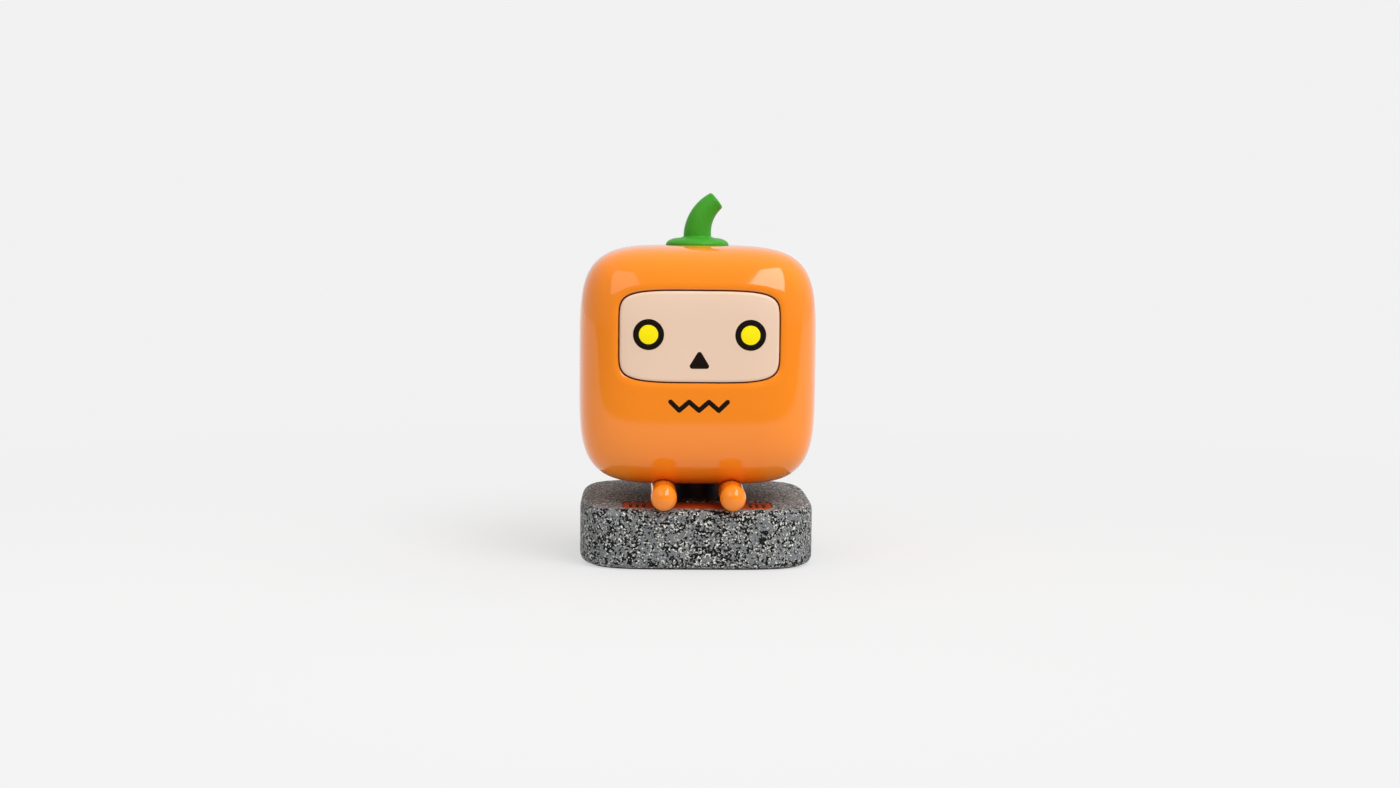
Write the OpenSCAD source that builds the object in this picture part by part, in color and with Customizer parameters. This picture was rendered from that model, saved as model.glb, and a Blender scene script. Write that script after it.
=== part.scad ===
// Seated vinyl figure with a rounded-cube body, a bent stem and two turning legs,
// lifted on and off a stone-effect display base. The front faces -Y.

/* [Base] */
// Width of the base
base_w = 79; // [68:1:100]
// Depth of the base
base_d = 82; // [68:1:100]
// Height of the base's top face above the surface it stands on
base_h = 20; // [16:0.5:30]
// Squareness of the base's plan outline, where 2 is an ellipse
base_power = 4.6; // [3:0.1:8]
// Rounding of the base's top and bottom edges
base_edge = 2.2; // [0.8:0.1:2.5]
// Thickness of the anti-slip pad
pad_t = 1.6; // [1.2:0.1:3]
// How far the pad stands out below the base block
pad_proud = 0.4; // [0.2:0.1:0.8]
// Distance from the base's side to the pad's side
pad_inset = 2.4; // [2:0.1:6]

/* [Nameplate] */
// Width of the inlaid plate in the base's top
plate_w = 50; // [36:1:56]
// Depth of the plate, front to back
plate_d = 17; // [10:0.5:20]
// Thickness of the plate
plate_t = 2; // [1:0.1:3]
// Corner radius of the plate
plate_r = 3; // [1:0.5:4.5]
// Distance from the base's front to the plate's front
plate_setback = 5; // [3:0.5:8]
// Width of one marking bar
bar_w = 1.1; // [0.6:0.1:1.6]
// Number of marking bars at each end of the plate
bar_count = 3; // [1:1:4]

/* [Seat post] */
// Radius of the post that carries the figure
post_r = 10; // [9:0.5:12]
// How deep the post is set into the base
post_sink = 6; // [4:0.5:10]
// Width of the keyed spigot
key_w = 12; // [10:0.5:14]
// Depth of the keyed spigot, front to back
key_d = 9; // [8:0.5:11]
// Height of the keyed spigot
key_h = 5; // [4:0.5:7]
// Radius of the holding magnets
magnet_r = 3; // [2:0.5:3.5]
// Thickness of the holding magnets
magnet_t = 2.5; // [1.5:0.5:3]

/* [Body] */
// Width of the body
body_w = 80; // [66:1:100]
// Depth of the body
body_d = 80; // [66:1:100]
// Height of the body
body_h = 80.6; // [66:0.2:100]
// Squareness of the body, where 2 is a ball
body_power = 4.65; // [3.5:0.05:7]
// Gap between the base and the body
body_gap = 5.8; // [5:0.1:8]
// Wall thickness of the vinyl shell
wall = 2.2; // [1.6:0.1:3]

/* [Face] */
// Width of the opening for the face panel
face_w = 53; // [44:0.5:60]
// Height of the opening for the face panel
face_h = 30.4; // [24:0.5:37]
// Drop from the top of the body to the middle of the face panel
face_drop = 29.5; // [26:0.1:34]
// Thickness of the face panel at its thinnest
face_edge_t = 2; // [1.5:0.1:3]
// Gap round the face panel
face_gap = 0.4; // [0.2:0.05:0.8]
// Radius of the face panel's fixing pegs
peg_r = 1.5; // [1:0.1:2]
// Half the distance between the eyes
eye_x = 16.7; // [12:0.1:18]
// Drop from the top of the body to the middle of the eyes
eye_drop = 28.9; // [26:0.1:34]
// Outer radius of the eye rings
ring_r = 5.05; // [4:0.05:6]
// Radius of the eye discs
iris_r = 3.16; // [2:0.02:3.8]
// Drop from the top of the body to the middle of the nose
nose_drop = 37.2; // [36:0.1:42]
// Width of the nose
nose_w = 6.3; // [4:0.1:8]
// Height of the nose
nose_h = 5.5; // [4:0.1:6]
// Drop from the top of the body to the middle of the mouth
mouth_drop = 52.2; // [49:0.1:56]
// Horizontal reach of one inner stroke of the mouth
mouth_pitch = 3.24; // [2.5:0.05:4]
// Horizontal reach of the mouth's two end strokes
mouth_end = 2.85; // [2:0.05:4]
// Height of the mouth's strokes between their centre lines
mouth_rise = 2.8; // [1.5:0.05:4]
// Thickness of the mouth's line
mouth_line = 1.5; // [0.8:0.05:2]
// Depth of the inlaid pieces
inlay_t = 1.2; // [0.8:0.1:1.3]

/* [Stem] */
// Radius of the stem's flange
flange_r = 10.8; // [8:0.1:13]
// Thickness of the flange at its edge
flange_t = 2.7; // [2:0.1:3.3]
// Height of the stalk before it begins to bend
stalk_foot = 3.6; // [3.4:0.1:8]
// Radius of the stalk at its foot
stalk_r = 4.75; // [3.5:0.05:6]
// Radius of the stalk at its tip
tip_r = 3.2; // [2:0.05:4]
// How far the stalk leans over at its tip, in degrees
stalk_bend = 51.6; // [20:0.1:70]
// Bend radius of the stalk's centre line
bend_r = 14.2; // [11:0.1:20]
// Straight length of the stalk past its bend
stalk_tail = 1.7; // [0.5:0.1:4]
// Radius of the spigot that turns in the body
spigot_r = 5; // [4:0.1:6]
// Radius of the retaining collar inside the body
collar_r = 7; // [6.5:0.1:9]

/* [Legs] */
// Diameter of a leg
leg_dia = 8.6; // [7:0.1:10.4]
// How far the legs reach out past the body's front
toe_out = 7.5; // [4:0.1:12]
// Half the distance between the legs
leg_x = 11.3; // [10:0.1:14]
// Radius of the hip pins
hip_r = 2; // [1.5:0.1:2.5]
// Radius of the hip pins' heads
hip_head_r = 3.3; // [2.8:0.1:3.6]

/* [Closing plug] */
// Thickness of the plug's disc
plug_t = 2.6; // [2:0.1:4]
// Height of the plug's snap ring above the wall
snap_h = 1.4; // [1:0.1:2]
// How far the snap ring reaches over the wall
snap_reach = 1.2; // [0.8:0.1:2]

/* [Fits] */
// Radial clearance of a turning pin in its hole
running_fit = 0.05; // [0.02:0.01:0.1]
// Clearance between parts that lift or turn past each other
slide_gap = 0.15; // [0.1:0.05:0.3]

/* [Hidden] */

$fn = 64;
LEFT = 1;   // the figure's own left is +X
RIGHT = -1;
EPS = 0.01; // overlap of joined shapes
OVER = 1;   // overshoot of a cut past a face

body_z0 = base_h + body_gap;
body_zc = body_z0 + body_h / 2;
body_z1 = body_z0 + body_h;

eye_z = body_z1 - eye_drop;
face_z = body_z1 - face_drop;
nose_z = body_z1 - nose_drop;
mouth_z = body_z1 - mouth_drop;

// Share of a quarter turn at which the body's top and bottom end in a flat
pole_trim = 0.97;

// Exponents of the face panel's outline, across and up
face_power_x = 4.1;
face_power_z = 7.2;
face_bed_t = 2;      // wall kept behind the panel
nose_r = 0.83;       // corner radius of the nose
panel_sink = 0.1;    // panel's surface below the body's
inlay_sink = 0.1;    // inlaid pieces' surface below the one round them

plate_y = -base_d / 2 + plate_setback + plate_d / 2;
plate_sink = 0.3;    // plate's surface below the base's
bar_t = 0.6;         // depth of the marking bars
bar_end = 5;         // from the plate's end to the middle of its bars
bar_pitch = 2 * bar_w;

leg_r = leg_dia / 2;
leg_z = base_h + slide_gap + leg_r;
leg_front_y = -body_d / 2 - toe_out;
hip_room = 3.7;      // from the seat post's side to the legs' back ends
hip_y = -post_r - hip_room;
hip_sink = 6;        // how far a hip pin goes into its leg
hip_head_t = 1.2;
bracket_t = 3;       // thickness of the brackets that the hip pins turn in
bracket_rim = 0.5;   // how much wider a bracket is than its pin's head
leg_cover = 1.6;     // wall of the plug's channels over the legs

plug_rim = 2;        // wall of the plug's ring
plug_share = 0.656;  // the plug's radius as a share of the body's half width
plug_r = plug_share * min(body_w, body_d) / 2;

key_wall = 2.6;      // wall of the plug's keyed socket
magnet_web = 0.6;    // plastic left over the upper magnet's face
socket_h = key_h + slide_gap;

// Share of the stalk's taper reached where its bend ends, and the power it follows
taper_share = 0.9;
taper_power = 1.3;
// Rings that round the stalk's tip: back from its end, and in from tip_r
tip_rings = [[0.6, 0], [0.2, 0.2], [0, 0.9]];
flange_round = min(2, 0.7 * flange_t);
flange_dome = 0.5;   // rise of the flange from its edge to the stalk
collar_t = 2;

seat_drop = 0.2;     // depth of the flat seat under the stem's flange
seat_z = body_z1 - seat_drop;
flange_z = seat_z + running_fit;

// ---- outlines ----

function signed_pow(v, p) = sign(v) * pow(abs(v), p);

// Closed rounded-square outline with its own squareness along each axis
function squircle(a, b, p, q, sides) =
    [for (i = [0 : sides - 1])
        let (t = 360 * i / sides)
        [a * signed_pow(cos(t), 2 / p), b * signed_pow(sin(t), 2 / q)]];

// How far out the body reaches where it is u across and v up, both as shares of the half size
function body_reach(u, v) =
    pow(max(0, 1 - pow(abs(u), body_power) - pow(abs(v), body_power)), 1 / body_power);

// Y of the body's front at x, z
function front_y(x, z) =
    -body_d / 2 * body_reach(x / (body_w / 2), (z - body_zc) / (body_h / 2));

face_outline = squircle(face_w / 2, face_h / 2, face_power_x, face_power_z, 64);
panel_outline = squircle(
    face_w / 2 - face_gap, face_h / 2 - face_gap, face_power_x, face_power_z, 64
);

// The pocket's flat floor lies behind the most set-back point of its outline
face_floor_y = max([for (p = face_outline) front_y(p.x, face_z + p.y)]) + face_edge_t;
face_bed_y = face_floor_y + face_bed_t;
eye_tilt = atan(front_y(eye_x + 1, eye_z) - front_y(eye_x, eye_z));
nose_floor_y = front_y(0, nose_z) + panel_sink + inlay_t;
mouth_floor_y = front_y(0, mouth_z) + inlay_t;

// ---- shared shapes ----

// Closed skin through rings of points that all have the same number of sides
module skin(rings) {
    sides = len(rings[0]);
    last = len(rings) - 1;
    points = [for (ring = rings) each ring];
    bands = [
        for (r = [0 : last - 1], i = [0 : sides - 1])
            let (j = (i + 1) % sides, a = r * sides, b = a + sides)
            each [[a + i, b + i, b + j], [a + i, b + j, a + j]]
    ];
    foot = [for (i = [0 : sides - 1]) i];
    head = [for (i = [sides - 1 : -1 : 0]) last * sides + i];
    polyhedron(points, concat([foot], bands, [head]), convexity = 6);
}

// The body's form, shrunk all round by inset
module body_form(inset, sides, rings) {
    a = body_w / 2 - inset;
    b = body_d / 2 - inset;
    c = body_h / 2 - inset;
    translate([0, 0, body_zc])
        skin([
            for (k = [0 : rings])
                let (
                    lat = 90 * (2 * k / rings - 1) * pole_trim,
                    s = pow(cos(lat), 2 / body_power),
                    z = k == 0 ? -c : k == rings ? c : c * signed_pow(sin(lat), 2 / body_power)
                )
                [for (p = squircle(a * s, b * s, body_power, body_power, sides)) [p.x, p.y, z]]
        ]);
}

// Slab with a rounded-square plan and rounded edges, standing on z = 0
module soft_slab(w, d, h, power, edge, sides) {
    steps = 4;
    arc = [for (k = [0 : steps]) 90 * k / steps];
    low = [for (t = arc) [edge * (1 - sin(t)), edge * (1 - cos(t))]];
    high = [for (t = arc) [edge * (1 - cos(t)), h - edge * (1 - sin(t))]];
    skin([
        for (q = concat(low, high))
            [for (p = squircle(w / 2 - q.x, d / 2 - q.x, power, power, sides)) [p.x, p.y, q.y]]
    ]);
}

// Rectangle with round corners, centred
module round_rect(w, d, r) {
    square([w - 2 * r, d], center = true);
    square([w, d - 2 * r], center = true);
    for (x = [-1, 1], y = [-1, 1])
        translate([x * (w / 2 - r), y * (d / 2 - r)])
            circle(r);
}

// Direction of step k along points, in degrees
function heading(points, k) =
    let (step = points[k + 1] - points[k])
    atan2(step.y, step.x);

// Turn between two headings, from -180 to 180
function turn_of(from, to) = (to - from + 540) % 360 - 180;

// Points on an arc of radius r about p, from angle a through sweep
function arc_points(p, r, a, sweep, steps) =
    [for (j = [0 : steps]) let (t = a + sweep * j / steps) p + r * [cos(t), sin(t)]];

// Outline beside vertex k of a line: an arc outside the bend, one point inside it
function beside(points, k, half, side) =
    let (
        a = heading(points, k - 1),
        turn = turn_of(a, heading(points, k)),
        out = a + turn / 2 + side * 90
    )
    side * turn > 0
        ? [points[k] + half / cos(turn / 2) * [cos(out), sin(out)]]
        : arc_points(points[k], half, a + side * 90, turn, 6);

function reversed(list) = [for (i = [len(list) - 1 : -1 : 0]) list[i]];

// Outline of a line of the given width along points, with round ends and joints
function line_outline(points, width) =
    let (
        half = width / 2,
        last = len(points) - 1,
        left = [for (k = [1 : 1 : last - 1]) each beside(points, k, half, 1)],
        right = [for (k = [1 : 1 : last - 1]) each beside(points, k, half, -1)],
        out = heading(points, last - 1)
    )
    concat(
        left,
        arc_points(points[last], half, out + 90, -180, 10),
        reversed(right),
        arc_points(points[0], half, heading(points, 0) - 90, -180, 10)
    );

// Outline with corners of radius r about points that run anticlockwise
function rounded_outline(points, r) =
    let (n = len(points), ring = concat([points[n - 1]], points, [points[0]]))
    [for (k = [1 : n])
        let (a = heading(ring, k - 1))
        each arc_points(ring[k], r, a - 90, turn_of(a, heading(ring, k)), 8)];

// Flat outline given in x and z, pushed back from y0 to y1
module push_back(y0, y1) {
    translate([0, y1, 0])
        rotate([90, 0, 0])
            linear_extrude(y1 - y0)
                children();
}

// Children at one eye, with their own +Z square out of the face
module at_eye(side) {
    translate([side * eye_x, front_y(eye_x, eye_z) + panel_sink, eye_z])
        rotate([90, 0, side * eye_tilt])
            children();
}

// Children on a leg's axis, with their +Z toward the back
module along_leg(side, y) {
    translate([side * leg_x, y, leg_z])
        rotate([-90, 0, 0])
            children();
}

// Room for a leg where it passes under the body and into the plug
module leg_channel(side) {
    along_leg(side, leg_front_y)
        cylinder(r = leg_r + slide_gap, h = hip_y + slide_gap - leg_front_y);
}

// ---- base ----

module base_pad() {
    color("black")
        linear_extrude(pad_t)
            pad_outline();
}

module pad_outline() {
    polygon(squircle(
        base_w / 2 - pad_inset, base_d / 2 - pad_inset, base_power, base_power, 64
    ));
}

module base_block() {
    color("slategray")
        difference() {
            translate([0, 0, pad_proud])
                soft_slab(base_w, base_d, base_h - pad_proud, base_power, base_edge, 72);
            linear_extrude(pad_t)
                pad_outline();
            translate([0, plate_y, base_h - plate_sink - plate_t])
                linear_extrude(plate_t + OVER)
                    round_rect(plate_w, plate_d, plate_r);
            translate([0, 0, base_h - post_sink])
                cylinder(r = post_r, h = post_sink + OVER);
        }
}

module plate_bars() {
    for (side = [LEFT, RIGHT], i = [0 : bar_count - 1])
        translate([side * (plate_w / 2 - bar_end) + (i - (bar_count - 1) / 2) * bar_pitch, 0])
            square([bar_w, plate_d / 2], center = true);
}

module nameplate() {
    color("darkorange")
        translate([0, plate_y, base_h - plate_sink - plate_t])
            difference() {
                linear_extrude(plate_t)
                    round_rect(plate_w, plate_d, plate_r);
                translate([0, 0, plate_t - bar_t])
                    linear_extrude(bar_t + OVER)
                        plate_bars();
            }
}

module plate_marks() {
    color("black")
        translate([0, plate_y, base_h - plate_sink - bar_t])
            linear_extrude(bar_t)
                plate_bars();
}

// Post set into the base, with a keyed spigot that the figure drops over
module seat_post() {
    color("dimgray")
        difference() {
            union() {
                translate([0, 0, base_h - post_sink])
                    cylinder(r = post_r, h = post_sink + body_gap);
                translate([-key_w / 2, -key_d / 2, body_z0 - EPS])
                    cube([key_w, key_d, key_h + EPS]);
            }
            translate([0, 0, body_z0 + key_h - magnet_t])
                cylinder(r = magnet_r, h = magnet_t + OVER);
        }
}

module base_magnet() {
    color("silver")
        translate([0, 0, body_z0 + key_h - magnet_t])
            cylinder(r = magnet_r, h = magnet_t);
}

// ---- body ----

module body_shell() {
    color("darkorange")
        difference() {
            body_form(0, 56, 28);
            body_cavity();
            push_back(-body_d / 2 - OVER, face_floor_y)
                translate([0, face_z])
                    polygon(face_outline);
            panel_pegs(0);
            push_back(-body_d / 2 - OVER, mouth_floor_y)
                mouth_2d();
            translate([0, 0, seat_z])
                cylinder(r = flange_r + face_gap, h = seat_drop + OVER);
            translate([0, 0, body_z1 - body_h / 4])
                cylinder(r = spigot_r + running_fit, h = body_h / 4 + OVER);
            translate([0, 0, body_z0 - OVER])
                cylinder(r = plug_r, h = body_h / 4);
            for (side = [LEFT, RIGHT])
                leg_channel(side);
        }
}

// Hollow of the shell, which keeps a bed behind the face panel
module body_cavity() {
    difference() {
        body_form(wall, 40, 20);
        push_back(-body_d / 2, face_bed_y)
            translate([0, face_z])
                square([face_w + 2 * wall, face_h + 2 * wall], center = true);
    }
}

module panel_pegs(growth) {
    for (x = [-1, 1], z = [-1, 1])
        translate([x * face_w / 3, face_bed_y + growth, face_z + z * face_h / 3])
            rotate([90, 0, 0])
                cylinder(r = peg_r, h = face_bed_t + growth + EPS);
}

// Panel that follows the body's form, with four pegs through the bed behind it
module face_panel() {
    color("bisque")
        difference() {
            union() {
                intersection() {
                    body_form(panel_sink, 56, 28);
                    push_back(-body_d / 2, face_floor_y)
                        translate([0, face_z])
                            polygon(panel_outline);
                }
                panel_pegs(1);
            }
            for (side = [LEFT, RIGHT])
                at_eye(side)
                    translate([0, 0, -inlay_t])
                        cylinder(r = ring_r, h = inlay_t + OVER);
            push_back(-body_d / 2 - OVER, nose_floor_y)
                nose_2d();
        }
}

module eye_ring(side) {
    color("black")
        at_eye(side)
            translate([0, 0, -inlay_t])
                difference() {
                    cylinder(r = ring_r, h = inlay_t - inlay_sink);
                    translate([0, 0, -OVER])
                        cylinder(r = iris_r, h = inlay_t + 2 * OVER);
                }
}

module eye_disc(side) {
    color("yellow")
        at_eye(side)
            translate([0, 0, -inlay_t])
                cylinder(r = iris_r, h = inlay_t - inlay_sink);
}

module eye_ring_left() { eye_ring(LEFT); }

module eye_ring_right() { eye_ring(RIGHT); }

module eye_disc_left() { eye_disc(LEFT); }

module eye_disc_right() { eye_disc(RIGHT); }

// Triangle with rounded corners, standing on its long side
module nose_2d() {
    x = nose_w / 2 - nose_r;
    z = nose_h / 2 - nose_r;
    translate([0, nose_z])
        polygon(rounded_outline([[-x, -z], [x, -z], [0, z]], nose_r));
}

module nose() {
    color("black")
        push_back(nose_floor_y - inlay_t + inlay_sink, nose_floor_y)
            nose_2d();
}

// Zigzag line with its two ends high
module mouth_2d() {
    up = mouth_rise / 2;
    inner = [for (i = [-2 : 2]) [i * mouth_pitch, i % 2 == 0 ? -up : up]];
    end_x = 2 * mouth_pitch + mouth_end;
    translate([0, mouth_z])
        polygon(line_outline(concat([[-end_x, up]], inner, [[end_x, up]]), mouth_line));
}

module mouth() {
    color("black")
        push_back(mouth_floor_y - inlay_t + inlay_sink, mouth_floor_y)
            mouth_2d();
}

// Plug that closes the shell's underside, with a keyed socket, a channel over each leg
// and the brackets that the hip pins turn in
module closing_plug() {
    lip_z = under_wall_z() + slide_gap;
    color("darkorange")
        difference() {
            union() {
                difference() {
                    union() {
                        intersection() {
                            translate([0, 0, body_z0 - OVER])
                                cylinder(r = plug_r, h = lip_z + snap_h - body_z0 + OVER);
                            body_form(0, 56, 28);
                        }
                        translate([0, 0, lip_z])
                            cylinder(r = plug_r + snap_reach, h = snap_h);
                    }
                    translate([0, 0, body_z0 + plug_t])
                        cylinder(r = plug_r - plug_rim, h = body_h / 4);
                }
                for (side = [LEFT, RIGHT]) {
                    channel_cover(side);
                    hip_bracket(side);
                }
                translate([-key_w / 2 - key_wall, -key_d / 2 - key_wall, body_z0])
                    cube([
                        key_w + 2 * key_wall,
                        key_d + 2 * key_wall,
                        socket_h + magnet_web + magnet_t
                    ]);
            }
            for (side = [LEFT, RIGHT]) {
                leg_channel(side);
                along_leg(side, hip_y)
                    cylinder(r = hip_r + running_fit, h = bracket_t + OVER);
                along_leg(side, hip_y + slide_gap + bracket_t)
                    cylinder(r = hip_head_r + slide_gap, h = hip_head_t + 2 * slide_gap);
            }
            translate([-key_w / 2 - slide_gap, -key_d / 2 - slide_gap, body_z0 - OVER])
                cube([key_w + 2 * slide_gap, key_d + 2 * slide_gap, socket_h + OVER]);
            translate([0, 0, body_z0 + socket_h + magnet_web])
                cylinder(r = magnet_r, h = magnet_t + OVER);
        }
}

// Wall that closes the plug over a leg's channel
module channel_cover(side) {
    intersection() {
        along_leg(side, -body_d / 2)
            cylinder(r = leg_r + slide_gap + leg_cover, h = body_d / 2 + hip_y + bracket_t);
        translate([0, 0, body_z0 + plug_t / 2])
            cylinder(r = plug_r - plug_rim / 2, h = body_h / 4);
    }
}

// Block under the plug, behind a leg, that its hip pin turns in
module hip_bracket(side) {
    half = hip_head_r + bracket_rim;
    foot_z = leg_z - hip_head_r;
    translate([side * leg_x - half, hip_y + slide_gap, foot_z])
        cube([2 * half, bracket_t, body_z0 + plug_t / 2 - foot_z]);
}

// Height of the shell's inner face where the snap ring grips it
function under_wall_z() =
    let (
        a = body_w / 2 - wall,
        b = body_d / 2 - wall,
        c = body_h / 2 - wall,
        r = plug_r + snap_reach
    )
    body_zc - c * body_reach(r / min(a, b), 0);

module body_magnet() {
    color("silver")
        translate([0, 0, body_z0 + socket_h + magnet_web])
            cylinder(r = magnet_r, h = magnet_t);
}

// ---- stem ----

// Radius of the stalk at a share u of its length
function stalk_radius(u) = stalk_r - (stalk_r - tip_r) * pow(u, taper_power);

// One ring of the stalk, leaning by t about its centre
function stalk_ring(x, z, t, r) =
    [for (i = [0 : 31])
        let (w = 360 * i / 32)
        [x + r * cos(w) * cos(t), r * sin(w), z - r * cos(w) * sin(t)]];

module stalk(z0) {
    steps = 14;
    foot = [stalk_ring(0, 0, 0, stalk_r)];
    bend = [
        for (k = [0 : steps])
            let (u = k / steps, t = stalk_bend * u)
            stalk_ring(
                bend_r * (1 - cos(t)), stalk_foot + bend_r * sin(t), t,
                stalk_radius(taper_share * u)
            )
    ];
    tip = [
        for (q = tip_rings)
            let (along = stalk_tail - q.x)
            stalk_ring(
                bend_r * (1 - cos(stalk_bend)) + along * sin(stalk_bend),
                stalk_foot + bend_r * sin(stalk_bend) + along * cos(stalk_bend),
                stalk_bend, tip_r - q.y
            )
    ];
    translate([0, 0, z0])
        skin(concat(foot, bend, tip));
}

// Half of the flange's cross-section, with its top edge rounded
module flange_2d() {
    top = flange_t + flange_dome;
    inner = flange_r - flange_round;
    intersection() {
        union() {
            square([inner, flange_t]);
            square([flange_r, flange_t - flange_round]);
            translate([inner, flange_t - flange_round])
                circle(flange_round);
            polygon([[0, 0], [inner, flange_t], [stalk_r / 2, top], [0, top]]);
        }
        square([flange_r, top]);
    }
}

module stem() {
    inner_z = body_z1 - wall - slide_gap;
    color("forestgreen") {
        stalk(flange_z);
        translate([0, 0, flange_z])
            rotate_extrude()
                flange_2d();
        translate([0, 0, inner_z])
            cylinder(r = spigot_r, h = flange_z - inner_z + EPS);
        translate([0, 0, inner_z - collar_t])
            cylinder(r = collar_r, h = collar_t);
    }
}

// ---- legs ----

// Leg with a round front end and a flat back end, bored for its hip pin
module leg(side) {
    len = hip_y - leg_front_y;
    color("darkorange")
        difference() {
            along_leg(side, leg_front_y)
                rotate_extrude()
                    intersection() {
                        union() {
                            translate([0, leg_r])
                                circle(leg_r);
                            translate([-leg_r, leg_r])
                                square([2 * leg_r, len - leg_r]);
                        }
                        square([leg_r, len]);
                    }
            along_leg(side, hip_y - hip_sink)
                cylinder(r = hip_r, h = hip_sink + OVER);
        }
}

module leg_left() { leg(LEFT); }

module leg_right() { leg(RIGHT); }

// Pin pressed into a leg, with a head behind the bracket that it turns in
module hip_pin(side) {
    head_y = hip_y + bracket_t + 2 * slide_gap;
    color("ivory") {
        along_leg(side, hip_y - hip_sink)
            cylinder(r = hip_r, h = head_y - hip_y + hip_sink + EPS);
        along_leg(side, head_y)
            cylinder(r = hip_head_r, h = hip_head_t);
    }
}

module hip_pin_left() { hip_pin(LEFT); }

module hip_pin_right() { hip_pin(RIGHT); }

base_block();
base_pad();
nameplate();
plate_marks();
seat_post();
base_magnet();
body_shell();
closing_plug();
body_magnet();
face_panel();
eye_ring_left();
eye_ring_right();
eye_disc_left();
eye_disc_right();
nose();
mouth();
stem();
leg_left();
leg_right();
hip_pin_left();
hip_pin_right();
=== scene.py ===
"""Looks of a seated vinyl toy and its stone-effect display base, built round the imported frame."""

import math

import bmesh
import bpy
from mathutils import Matrix, Vector, noise


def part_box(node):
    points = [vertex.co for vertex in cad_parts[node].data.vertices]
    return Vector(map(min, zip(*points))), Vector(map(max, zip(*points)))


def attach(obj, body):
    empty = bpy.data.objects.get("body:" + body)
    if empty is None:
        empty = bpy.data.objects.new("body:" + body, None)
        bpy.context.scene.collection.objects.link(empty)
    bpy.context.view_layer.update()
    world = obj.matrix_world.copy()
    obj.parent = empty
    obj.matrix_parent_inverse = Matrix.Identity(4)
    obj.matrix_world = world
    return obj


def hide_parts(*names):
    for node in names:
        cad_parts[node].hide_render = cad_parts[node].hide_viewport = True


bl_info = {
    "name": "Vinyl Toy on Stone Base",
    "version": (1, 0, 0),
    "blender": (4, 5, 0),
    "location": "3D View > Sidebar > Vinyl Toy",
    "description": "Builds the visible pieces of a vinyl toy and its display base",
    "category": "Add Mesh",
}

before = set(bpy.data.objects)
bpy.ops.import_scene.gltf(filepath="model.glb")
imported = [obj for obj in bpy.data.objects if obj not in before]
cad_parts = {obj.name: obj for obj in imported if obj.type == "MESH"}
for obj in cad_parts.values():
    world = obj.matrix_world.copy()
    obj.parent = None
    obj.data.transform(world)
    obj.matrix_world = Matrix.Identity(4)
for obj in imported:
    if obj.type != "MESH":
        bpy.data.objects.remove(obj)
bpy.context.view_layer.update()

MM = 0.001
TURN = 2 * math.pi
MERGE = 0.5e-6
SHARP = math.radians(32)

# Clearances, and how far a cutter runs past the surface that it cuts
FIT = 0.03 * MM
SLIDE_GAP = 0.15 * MM
CUT_PAST = 2 * MM

# The body's form, and its height over the base
BODY_POWER = 4.65
BODY_GAP = 5.8 * MM
FACE_POWERS = (4.1, 7.2)
BASE_POWER = 4.6
MOUTH_PITCH = 3.24 * MM

# What the hidden fittings take out of the visible pieces
SNAP_REACH = 1.2 * MM
SPIGOT_RADIUS = 5 * MM
SEAT_DROP = 0.2 * MM
HIP_RADIUS = 2 * MM
PLUG_HOLE = (-5 * MM, 6 * MM)
SPIGOT_HOLE_DEPTH = 8 * MM

STALK_TAPER = 1.3


# ---- settings ----


def length(name, description, millimetres):
    return bpy.props.FloatProperty(
        name=name, description=description, default=millimetres * MM, unit="LENGTH", precision=5
    )


def colour(name, description, red, green, blue):
    return bpy.props.FloatVectorProperty(
        name=name, description=description, default=(red, green, blue), subtype="COLOR",
        size=3, min=0, max=1,
    )


def angle(name, description, degrees):
    return bpy.props.FloatProperty(
        name=name, description=description, default=math.radians(degrees), subtype="ANGLE"
    )


class ToySizes(bpy.types.PropertyGroup):
    lip_width: length("Lip width", "Width of the rolled lip round the face opening", 2.6)
    lip_depth: length("Lip depth", "How far the lip rolls back into the face opening", 0.9)
    wall: length("Wall", "Wall thickness of the vinyl shell", 2.2)
    panel_gap: length("Panel gap", "Gap between the face panel and its opening", 0.4)
    panel_edge: length("Panel edge", "Width of the rounding along the face panel's border", 1.0)
    panel_sink: length("Panel sink", "How far the face panel lies below the body's surface", 0.1)
    panel_side: length("Panel side", "Thickness of the face panel at its border", 2.0)
    inlay: length("Inlay", "Thickness of the eyes, nose and mouth", 1.2)
    inlay_edge: length("Inlay edge", "Rounding of the inlaid pieces' edges", 0.05)
    mouth_line: length("Mouth line", "Width of the mouth's line", 1.5)
    nose_corner: length("Nose corner", "Corner radius of the nose", 0.83)
    stalk_radius: length("Stalk radius", "Radius of the stalk at its foot", 4.75)
    tip_radius: length("Tip radius", "Radius of the stalk at its tip", 3.2)
    stalk_foot: length("Stalk foot", "Height at which the stalk begins to bend", 3.6)
    stalk_tail: length("Stalk tail", "Straight length of the stalk past its bend", 1.7)
    bend_radius: length("Bend radius", "Bend radius of the stalk's centre line", 14.2)
    bend: angle("Bend", "How far the stalk leans at its tip", 51.6)
    flange_thickness: length("Flange thickness", "Thickness of the stem's flange", 2.7)
    base_edge: length("Base edge", "Rounding of the base's top and bottom edges", 2.2)
    grain: length("Grain", "Depth of the stone's uneven surface", 0.12)
    plate_corner: length("Plate corner", "Corner radius of the nameplate", 3.0)


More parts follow.
